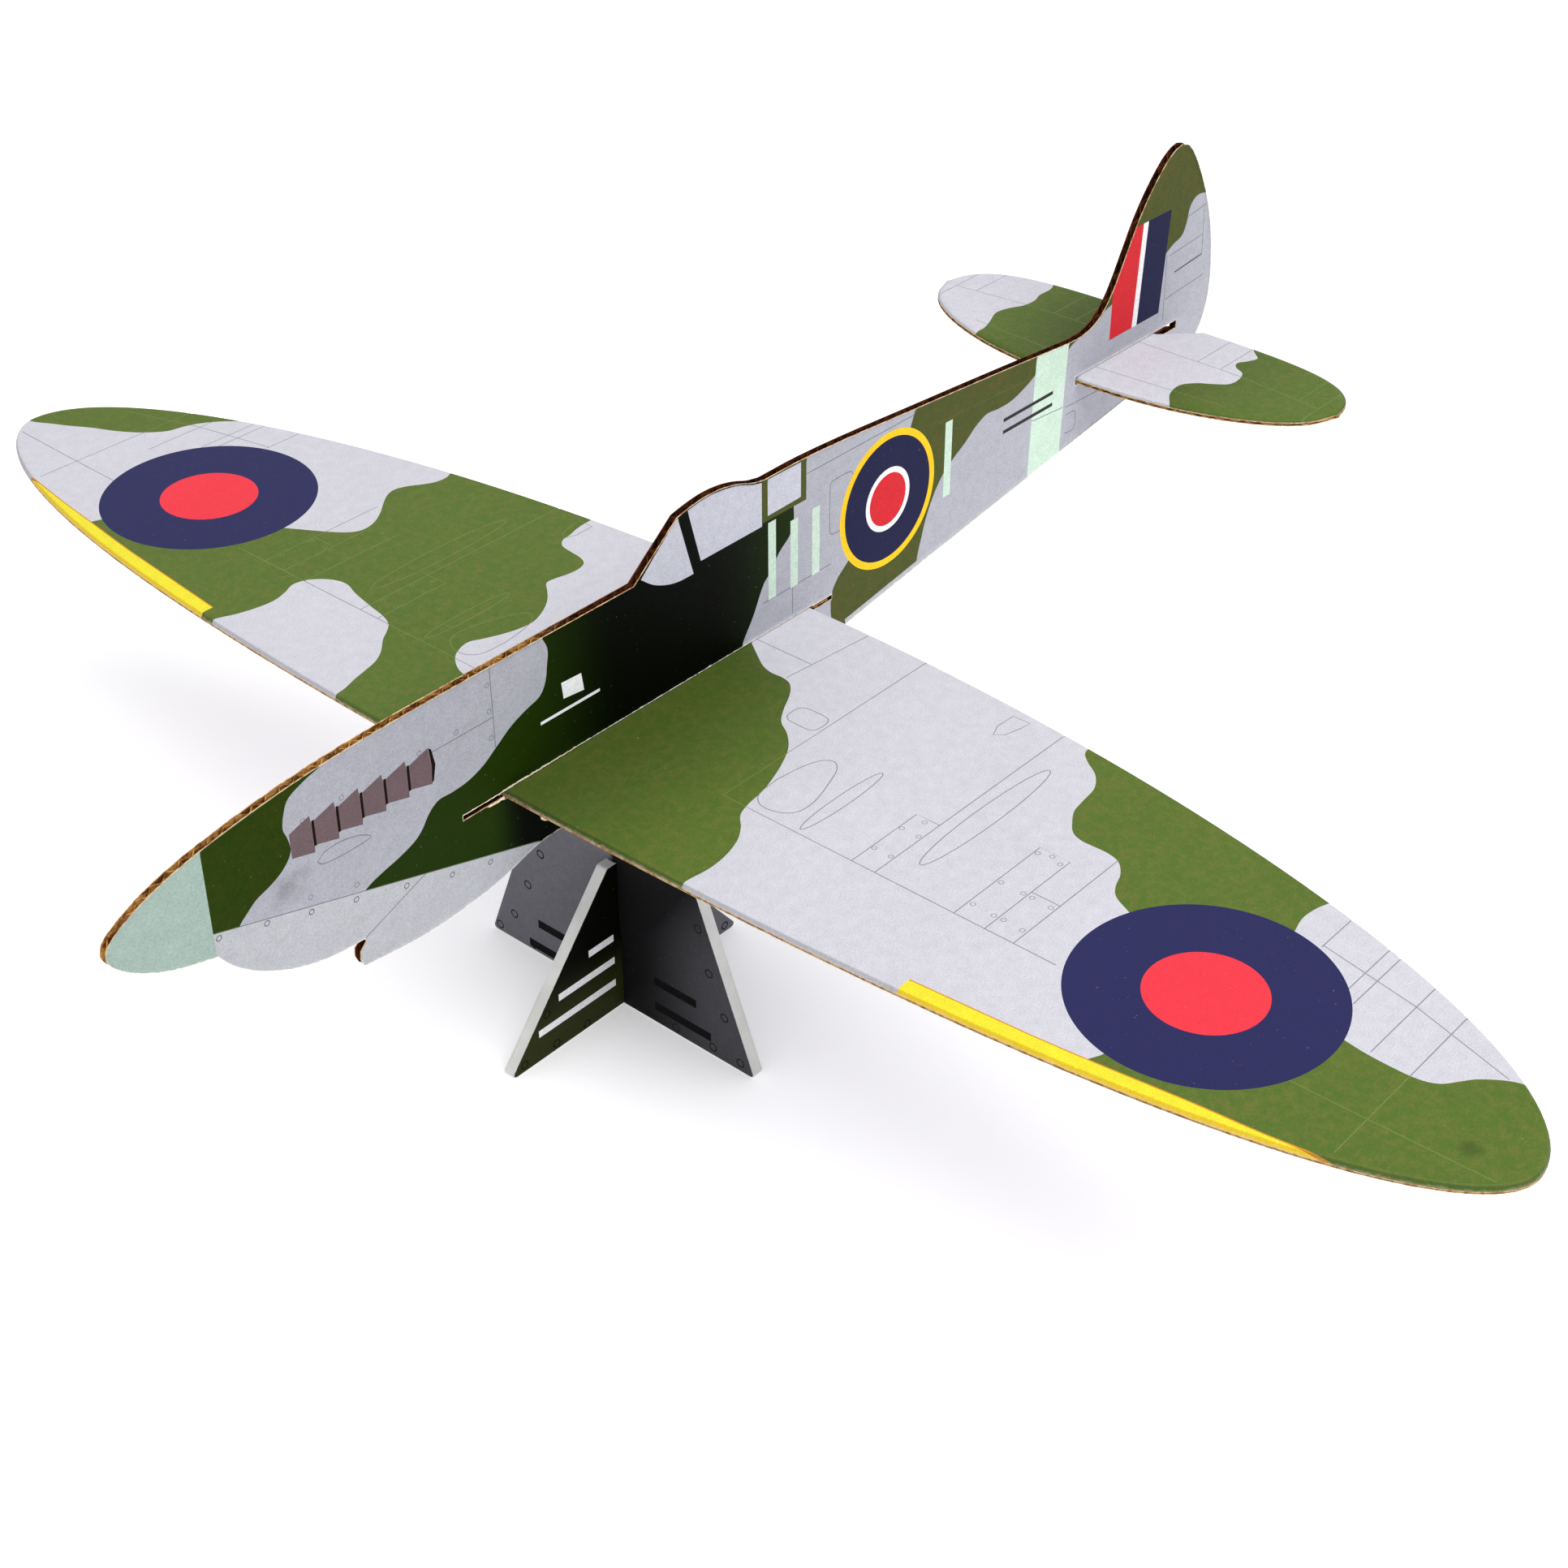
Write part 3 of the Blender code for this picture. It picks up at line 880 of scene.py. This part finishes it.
def wing_print():
    """Camouflage, markings and panel lines of the wing's top."""
    root_port = smooth([
        (46.8, 42), (46.8, 35), (47.4, 30), (47, 25), (45.5, 20), (43.3, 16.5), (40.5, 13.5), (39.3, 10),
        (38.5, 5), (37, 0), (35, -5), (32.5, -9.6), (29, -13.2), (25.5, -15.5), (23, -19), (20, -24.5),
        (17.5, -27.3), (15, -28.1), (12, -28), (9, -28.8), (5.5, -31), (0, -34.8),
    ])
    root_starboard = smooth([
        (0, -34.8), (-5, -30), (-10, -18), (-16, -2), (-24, 9.5), (-32, 13.6), (-36, 13.8), (-39.5, 12.3),
        (-42.5, 9.5), (-44, 5), (-42.5, 1.5), (-41, -2), (-39.8, -6), (-39.6, -10), (-41, -14),
        (-43.5, -18), (-46.5, -21), (-49, -23.2), (-49, -25.5), (-48.2, -29), (-48, -32), (-48.8, -34.5),
        (-51, -35.8), (-54.5, -36.3), (-58, -37), (-59.8, -39), (-60.2, -41.5), (-61, -44.5), (-61.4, -48),
        (-61.2, -58),
    ])
    port_green = root_port + [(0, 42)]
    starboard_green = [(0, 42), (-149, 42), (-149, -58)] + root_starboard[::-1]
    blob = smooth([
        (-92.3, 42), (-92, 35.5), (-91.4, 33), (-89.8, 29.5), (-88.5, 25), (-88, 20.5), (-89, 16.5),
        (-90.2, 13.7), (-89.8, 11), (-88, 8.4), (-85, 6.3), (-81.5, 5.6), (-77, 7), (-70, 8.5), (-65, 9.5),
        (-62, 10.9), (-60, 13.2), (-58.3, 15.7), (-55, 19.2), (-53, 22.5), (-52, 26), (-51, 30),
        (-49.8, 34), (-49.2, 42),
    ])
    outboard = smooth([
        (-112.5, -0.7), (-110, -2.3), (-106, -4.7), (-102, -7.2), (-99, -9.5), (-97.3, -12), (-97.3, -15),
        (-98.5, -18), (-100.5, -21), (-103, -24), (-105.3, -27.3), (-106, -30), (-105, -33), (-103, -36),
        (-101.5, -39), (-101.3, -42), (-102.4, -45), (-103, -58),
    ])
    outboard += [(-215, -58), (-215, 42), (-146.9, 42), (-146.5, 25.3), (-145.5, 22.8), (-136, 6)]
    tip_starboard = smooth([
        (-203, 5), (-198.3, 4.3), (-194, 2), (-190, 0), (-185, -3), (-180, -5.3), (-175.5, -8),
        (-172.5, -10.5), (-169.6, -14), (-168.5, -18), (-167, -21.5), (-164, -25.5), (-160.7, -28.8),
        (-157, -36),
    ]) + [(-215, -50), (-215, 5)]
    rear_port = smooth([
        (77.2, -58), (77.3, -48), (77.9, -46), (80, -44), (83.5, -41.5), (86, -37.7), (86.8, -33),
        (87.5, -29), (89.5, -25.5), (91.5, -23.1), (94, -22.1), (97, -22.1), (100, -22.1), (103, -21.2),
        (105.5, -18.3), (107, -14.6), (108.8, -12.2), (112.5, -10.3), (125, -4),
    ]) + [(136, -10)] + smooth([
        (138.5, -24.8), (137.6, -29), (138, -33), (139.2, -37), (140.2, -48),
    ])
    tip_port = [(136, 0), (133, 20), (131.7, 25.2), (130.5, 27.6), (129.5, 42), (215, 42)] + smooth([
        (215, -20), (196, -15.6), (189.5, -14.8), (186, -13.5), (182, -10.5), (180, -8), (178, -5.6),
        (175, -4.3), (170, -4), (164, -4.3), (158, -5.2), (150, -6),
    ])
    port_edge = smooth([(120, 28.7), (130, 27.6), (150, 25), (163, 23.6), (175.5, 21.6)])
    starboard_edge = smooth([(-120, 28.5), (-130, 27.5), (-147, 25.3), (-160, 23.6), (-175.5, 21.2)])
    strips = (
        [(95.2, 42), (95.2, 30.7)] + port_edge + [(180, 24), (180, 42)],
        [(-95.7, 42), (-95.7, 30.9)] + starboard_edge + [(-180, 24), (-180, 42)],
    )
    layers = Print()
    lay = layers.lay
    for paint, loop in (
        ("green", port_green), ("green", starboard_green), ("base", blob), ("base", outboard),
        ("green", tip_starboard), ("green", rear_port), ("green", tip_port),
    ):
        lay(paint, loop)
    spar = [stroke([(33.6, -56), (33.6, 10.8), (112, 10.8)], 0.24)]
    for group in wing_lines() + [spar]:
        lay("line", *group)
        lay("line", *mirrored(group))
    for strip in strips:
        lay("yellow", strip)
    for strip in strips:
        lay("amber", stroke(strip[1:-2], 0.3))
    for side in (1, -1):
        lay("navy", circle(side * ROUNDEL_OUT, 0, 24.85, 120))
        lay("red", circle(side * ROUNDEL_OUT, 0, 11.2, 72))
    return layers


def side_print():
    """Camouflage, markings and panel lines of one side of the fuselage."""
    nose_rear = smooth([
        (77, 31), (79, 27.9), (83, 26.5), (87, 24.6), (88.4, 21.8), (88.9, 19), (88.2, 16.8), (87.9, 13.7),
        (90, 11), (93, 9.3), (96.5, 8), (99, 6.2), (100.6, 4.8), (102, 2),
    ])
    middle_front = smooth([
        (26, 31), (24.8, 28.4), (23.6, 25.5), (24, 22), (24.8, 18.4), (26.4, 16.2), (30, 15), (34, 13.4),
        (38, 10.8), (42, 8.2), (46, 6.8), (50, 6.4), (53.5, 6.4), (56, 4.8), (58, 2.2), (60, 0.6),
        (64, -0.9), (68, -1.9), (71.5, -3), (74, -4.6), (76, -8),
    ])
    middle_rear = smooth([
        (-24, -20), (-27, -9), (-31.5, 0.7), (-35, 6), (-38.3, 12.2), (-40.6, 14.2), (-43.2, 17.6),
        (-46.6, 20.3), (-47.8, 23), (-47.8, 27),
    ])
    middle = middle_front + [(76, -24)] + middle_rear + [(-38.5, 27), (-38.5, 44), (26, 44)]
    ring_front = smooth([(-62.5, 3.2), (-60.5, 0.4), (-60.1, -3), (-60.6, -6.6), (-64.5, -12)])
    ring_rear = smooth([
        (-90, -9), (-90.2, -4), (-91.4, 0.2), (-93, 5), (-95.6, 10), (-98.6, 13.6), (-102.5, 16.3),
        (-106.7, 18.7), (-110, 21), (-114, 22.6), (-118, 22.3), (-123, 22.4), (-128, 23.8), (-133, 26),
    ])
    around_ring = [(-79, 15), (-65.5, 5.5)] + ring_front + ring_rear
    around_ring += [(-133, 40), (-88, 40), (-88, 34), (-86, 29)]
    fin = [(-150, 29), (-157, 31.8), (-162.3, 33.2), (-174, 36.2)] + smooth([
        (-182.4, 38.3), (-186, 40.1), (-189.4, 41.2), (-191, 44), (-191.8, 47.4), (-193.5, 49.2),
        (-196, 49.7), (-201, 48.6),
    ]) + [(-201, 70), (-150, 70)]
    layers = Print()
    lay = layers.lay
    # Painted shade: the nose's camouflage patch takes a darker copy of the green.
    lay("nose_green", nose_rear + [(106.3, 0), (106.3, 31)])
    # Painted shade: the middle camouflage patch takes a darker copy of the green.
    lay("dark_green", middle)
    lay("green", around_ring)
    lay("green", fin)
    lay("green", [(-144.8, 34), (-144.8, 27.4), (-148.6, 29.3), (-152, 34)])
    lay("mint", [(106.3, -5), (106.3, 30), (130, 30), (130, -5)])
    lay("belly", [(106.3, 6.2), (29, -16.6), (29, -24), (80, -24), (106.3, -6)])
    lay("belly", [(-65, -8.6), (-90, -4.8), (-172, 6.6), (-172, 4), (-90, -8), (-65, -12)])
    lay("band", [(-132.4, 34), (-131, -4), (-143.4, -4), (-144.9, 34)])

    sill = smooth([(-17.2, 24), (-13, 24.1), (-9.4, 24.9), (-5.6, 26.6), (-2.2, 29.2)])[1:-1]
    lay("pane", [(-2.2, 29.2), (-12.2, 38.2), (-13, 38.5), (-17.2, 24)] + sill)
    hood_top = smooth([(-15.9, 38.9), (-21.5, 39.6), (-26.5, 39.2), (-31, 38.3), (-35, 36.8), (-37.9, 36.1)])
    lay("pane", hood_top + [(-37.9, 26), (-19.4, 26)])
    lay("green", rect(-51.8, 26.6, -38, 44))
    lay("pane", [(-39.7, 27.7), (-50.1, 27.9), (-50.1, 36), (-39.7, 36.1)])

    for points in (
        [(106.3, 6.2), (29, -16.6)], [(38.5, 29), (38.5, 10.6)], [(54, 17.5), (38.5, 17.5)],
        [(74.6, -14.3), (58.4, -8)], [(-47.5, 7.6), (-47.5, 1)], [(-38, 7.6), (-60, 7.6)],
        [(-52, 32.5), (-88, 32.5)],
        [(-96, 27), (-131.5, 25.4)], [(-131.8, 14), (-143.9, 13)], [(-145, 12.5), (-160, 12)],
        [(-187.5, 32.5), (-199, 33.6)], [(-184.6, 37.5), (-198.6, 38.6)], [(-184.4, 26.5), (-200.8, 27.6)],
        [(-191.5, 45.3), (-199, 46.2)], [(-184.2, 21), (-183.6, 38)], [(-199.2, 33), (-198.4, 45)],
    ):
        lay("line", stroke(points))
    lay("dark_line", stroke([(-187.5, 32.4), (-199, 33.3)], 0.22))
    hatch = smooth([
        (-60.4, 14.6), (-66, 14.6), (-67, 15.6), (-67, 26.4), (-66, 27.4), (-60.4, 27.4), (-59.6, 26.6),
        (-59.6, 15.4), (-60.4, 14.6),
    ], 3)[:-1]
    lay("line", *outline(hatch))
    door = [(-145.4, 5.6), (-148.6, 5.4), (-149.4, 6.2), (-149.4, 9.6), (-148.6, 10.4), (-145.4, 10.4)]
    door = smooth(door, 3)
    lay("line", stroke(door))
    tear = smooth([
        (82.5, 8.4), (80.5, 9.7), (76.5, 9.8), (72.5, 8.8), (70, 7.2), (73, 6.8), (78, 6.9), (81.5, 7.4),
        (82.5, 8.4),
    ], 4)[:-1]
    lay("line", *outline(tear))
    belly_rings = [
        (105.3, 4.7), (95, 1.9), (85.2, -1.3), (75, -4.4), (63.1, -8.1), (51.9, -11.9), (42.1, -14.4),
    ]
    lay("dark_line", *rivets(belly_rings, 0.55, 0.15))
    cowl_rings = [
        (84.5, 18.5), (75.5, 18.8), (57, 18.8), (47.8, 18.8), (39.4, 19.2), (39.4, 25), (85, 1.9),
        (74.5, -1.3), (39.4, 13.2),
    ]
    lay("line", *rivets(cowl_rings, 0.5, 0.15))

    stub_rears = [82.7 - 5.62 * k for k in range(6)]
    for rear in stub_rears:
        stub = [(5.1, 12.1), (0, 10.7), (-0.3, 14.6), (0.3, 18.9), (5.1, 17.4)]
        lay("mauve", [(rear + a, b) for a, b in stub])
    for rear in stub_rears[:-1]:
        lay("black", rect(rear - 0.58, 12, rear + 0.02, 17.6))
    last = stub_rears[-1]
    crescent = [(0, 10.9), (-0.5, 11.3), (-1.2, 14.6), (-0.5, 18.2), (0.2, 18.8), (-0.3, 14.6)]
    lay("black", [(last + a, b) for a, b in crescent])

    for paint, radius in (("yellow", 16.2), ("navy", 14.55), ("white", 7.5), ("red", 6.17)):
        lay(paint, circle(-79.1, 15.4, radius, 96))
    for bar in (
        (-42.2, 7.6, -39.8, 26), (-56.2, 7.4, -53.8, 23.5), (-49.2, 7.4, -46.8, 23.5),
        (-101.4, 7.6, -98.9, 26.2),
    ):
        lay("band", rect(*bar))
    for bar in ((-139.6, 15, -120.6, 15.9), (-139.6, 18, -120.6, 18.9)):
        lay("dark_line", rect(*bar))
    lay("white", [(20.6, 16.4), (15.2, 16.1), (14.6, 12), (20.2, 12.6)])
    lay("white", rect(10.4, 9.6, 26.6, 10.3))
    feet, heads = (-161.5, -170.7, -172.7, -182), (-161.5, -172.3, -174.3, -183.8)
    for k, paint in enumerate(("red", "white", "navy")):
        lay(paint, [(feet[k], 23.8), (heads[k], 49.5), (heads[k + 1], 49.5), (feet[k + 1], 23.8)])
    return layers


def tail_print():
    """Camouflage and panel lines of the tailplane's top."""
    port = smooth([
        (26.5, -145), (25.5, -150.5), (22.6, -155), (21.5, -158.5), (21.7, -161.6), (24, -164.5),
        (27, -166.5), (29.9, -169), (30.2, -172.5), (29, -175.8), (26.2, -177.5), (25.2, -179.6),
        (26.5, -182), (27.5, -184.8), (25.6, -186.8), (24.1, -188.6), (24, -194),
    ]) + [(62, -194), (62, -145)]
    starboard = smooth([
        (-32, -145), (-31.9, -153.5), (-31.8, -156), (-33, -160), (-34.9, -165), (-34.2, -169),
        (-32.3, -173), (-32, -177), (-33, -180.5), (-33, -185), (-34.4, -189), (-34.8, -194),
    ]) + [(0, -194), (0, -145)]
    layers = Print()
    lay = layers.lay
    lay("green", port)
    lay("green", starboard)
    for side in (1, -1):
        for points in (
            [(0, -174.2), (30, -174), (52, -171.5)], [(17.7, -174.2), (17.7, -192)],
            [(24, -174.1), (24, -192)], [(46.5, -172.4), (46.5, -190)], [(52.2, -160), (52.2, -190)],
            [(0, -156), (36, -158.5)],
        ):
            lay("line", stroke([(side * a, b) for a, b in points]))
    return layers


def wing_under_print():
    groups = wing_lines()
    layers = Print(("line", group) for group in groups + [mirrored(group) for group in groups])
    for side in (1, -1):
        layers.lay("navy", circle(side * ROUNDEL_OUT, 0, 16.6, 90))
        layers.lay("red", circle(side * ROUNDEL_OUT, 0, 7.4, 60))
    return layers


def tail_under_print():
    return [layer for layer in tail_print() if layer[0] == "line"]


def cross_print(bars):
    """Corner rings of the stand's cross panel, and the bars on one face of it."""
    port = [(24, -39), (26.8, -49.2), (30.9, -58.8), (35.2, -68.6), (27.5, -68.6), (16.9, -69.2)]
    starboard = [(-21.8, -42.4), (-26.5, -52.9), (-31.6, -63.5), (-36.6, -69), (-26, -69.2), (-14, -69)]
    layers = Print([("ring", rivets(port + starboard, 0.95, 0.36))])
    for bar in bars:
        layers.lay("dark", rect(*bar))
    return layers


def long_print():
    """The stand's long panel: black with pale bars ahead of the crossing, grey behind it."""
    layers = Print()
    lay = layers.lay
    lay("black", rect(CROSS_X, -75, 60, 0))
    points = [(23.8, -59.8), (30.9, -69), (21.6, -69.2), (12.6, -69.6), (16.8, -52.2), (9.8, -44.4)]
    for side, paint in ((1, "ring_on_black"), (-1, "ring")):
        lay(paint, *rivets([(CROSS_X + side * a, b) for a, b in points], 0.9, 0.34))
    for bar in ((10.8, -52.6, 18.2, -50.8), (10.8, -58.6, 27.4, -56.8), (10.8, -64.6, 33.6, -62.8)):
        lay("pale", rect(*bar))
    return layers


# ---------- pieces
# How each skin's edge is pressed: how far down it goes, and how far in from the cut that reaches.

WING_PRESS = (1, 0.70)
TAIL_PRESS = (0.66, 1.7)
UNDER_PRESS = (0.05, 0.9)
SIDE_FLARE = (-0.28, 0.9)
SIDE_PRESS = (0.02, 0.5)
STAND_PRESS = (0.10, 0.8)
CARD = (wing_paints, paper_inner, torn_edge)
STAND = (stand_paints, stand_edge, stand_edge, STAND_PRESS)

printed_skin("wing_top", WING, 1, wing_print(), *CARD, WING_PRESS)
printed_skin("wing_underside", WING, -1, wing_under_print(), *CARD, UNDER_PRESS)
fluted_medium("wing_fluting", WING, wing_flute, WING_PRESS, UNDER_PRESS)
printed_skin("tail_top", TAIL, 1, tail_print(), *CARD, TAIL_PRESS)
printed_skin("tail_underside", TAIL, -1, tail_under_print(), *CARD, UNDER_PRESS)
fluted_medium("tail_fluting", TAIL, wing_flute, TAIL_PRESS, UNDER_PRESS, 0.9)
printed_skin("side_port", BODY, 1, side_print(), side_paints, body_flute, side_edge, SIDE_FLARE)
printed_skin("side_starboard", BODY, -1, side_print(), side_paints, body_flute, far_edge, SIDE_PRESS)
fluted_medium("body_fluting", BODY, body_flute, SIDE_FLARE, SIDE_PRESS, 1.7, 0.22)

# Torn strips: name, body, root from and to, reach, thickness, paper, material slot, raggedness.
for strip in (
    ("slit_burr", "fuselage", (48, 0.92, 0.02), (16, 0.92, 0.30), (0, 0.34, 0.22), 0.12,
     burr_paper, "flute_fuselage", 0.25),
    ("slit_lip", "fuselage", (42, 0.96, -1.20), (37.6, 0.96, -1.25), (0, 0.42, -0.30), 0.14,
     burr_paper, "flute_fuselage", 0.5),
    ("slit_rear_fold", "fuselage", (-59.9, -0.62, -1.10), (-54.2, -0.62, -1.10), (0, 1.30, 0), 0.12,
     crushed_paper, "flute_fuselage", 0.12),
    ("tail_slot_flap", "fuselage", (-189.9, -0.80, 17.12), (-181.6, -0.80, 17.12), (0, -1.70, -0.15), 0.18,
     flap_paper, "flute_fuselage", 0.2),
    ("edge_curl", "wing", (36.9, 12.3, -1.60), (36.9, 10.5, -1.60), (0.40, 0, -0.50), 0.12,
     burr_paper, "flute_wing", 0.3),
):
    torn_strip(*strip)

front_bars = [
    (11, -60.6, 23, -58.4), (11, -67.4, 27, -65.2),
    (-24, -63.4, -12, -61.2), (-27.2, -70, -12, -67.8),
]
printed_skin("cross_front", CROSS, 1, cross_print(front_bars), *STAND, 0)
printed_skin("cross_rear", CROSS, -1, cross_print([]), *STAND, 0)
printed_skin("long_port", LONG, 1, long_print(), *STAND, CROSS_X)
printed_skin("long_starboard", LONG, -1, long_print(), *STAND, CROSS_X)
for board in (CROSS, LONG):
    materials = frame["nodes"][board.core].data.materials
    materials.clear()
    materials.append(stand_edge)

# ---------- studio, in metres

FLOOR_REACH = 12.0
paper = Shader("floor_paper", 0.75, 0.2)
grain = paper.times(paper.noise(6), 0.02)
paper.colour(paper.mix(grain, (250, 249, 250), (240, 240, 242)))
paper.principled.inputs["Emission Strength"].default_value = 0.29
floor_mesh = bpy.data.meshes.new("floor")
corners = rect(-FLOOR_REACH, -FLOOR_REACH, FLOOR_REACH, FLOOR_REACH)
floor_mesh.from_pydata([(x, y, 0) for x, y in corners], [], [(0, 1, 2, 3)])
floor_mesh.materials.append(paper.material)
floor = add_object("floor", floor_mesh)

lamp = bpy.data.lights.new("key", "AREA")
lamp.shape = "DISK"
lamp.size = 1.9
lamp.energy = 30.0
key = add_object("key", lamp)
key.location = (0.05, 0.75, 1.7)
lit_point = Vector((0, 0, 0.08))
key.rotation_euler = (lit_point - key.location).to_track_quat("-Z", "Y").to_euler()

world = bpy.data.worlds.new("studio")
world.use_nodes = True
sky = world.node_tree
direction = sky.nodes.new("ShaderNodeTexCoord").outputs["Generated"]
split = sky.nodes.new("ShaderNodeSeparateXYZ")
sky.links.new(direction, split.inputs[0])
fade = sky.nodes.new("ShaderNodeMapRange")
sky.links.new(split.outputs["Z"], fade.inputs["Value"])
for socket, value in (("From Min", 0.25), ("From Max", 0.80), ("To Min", 0.82), ("To Max", 0.55)):
    fade.inputs[socket].default_value = value
sky.links.new(fade.outputs["Result"], sky.nodes["Background"].inputs["Strength"])
sky.nodes["Background"].inputs["Color"].default_value = (1, 1, 1, 1)
bpy.context.scene.world = world

optics = bpy.data.cameras.new("camera")
optics.sensor_width = 36.0
optics.lens = 57.5
optics.clip_start = 0.01
camera = add_object("camera", optics)
camera.location = (0.3364, 0.2995, 0.3484)
camera.rotation_euler = [math.radians(angle) for angle in (54.9325, 0.0481, 131.0161)]
bpy.context.scene.camera = camera
bpy.context.scene.view_settings.view_transform = "Standard"

bpy.context.view_layer.update()
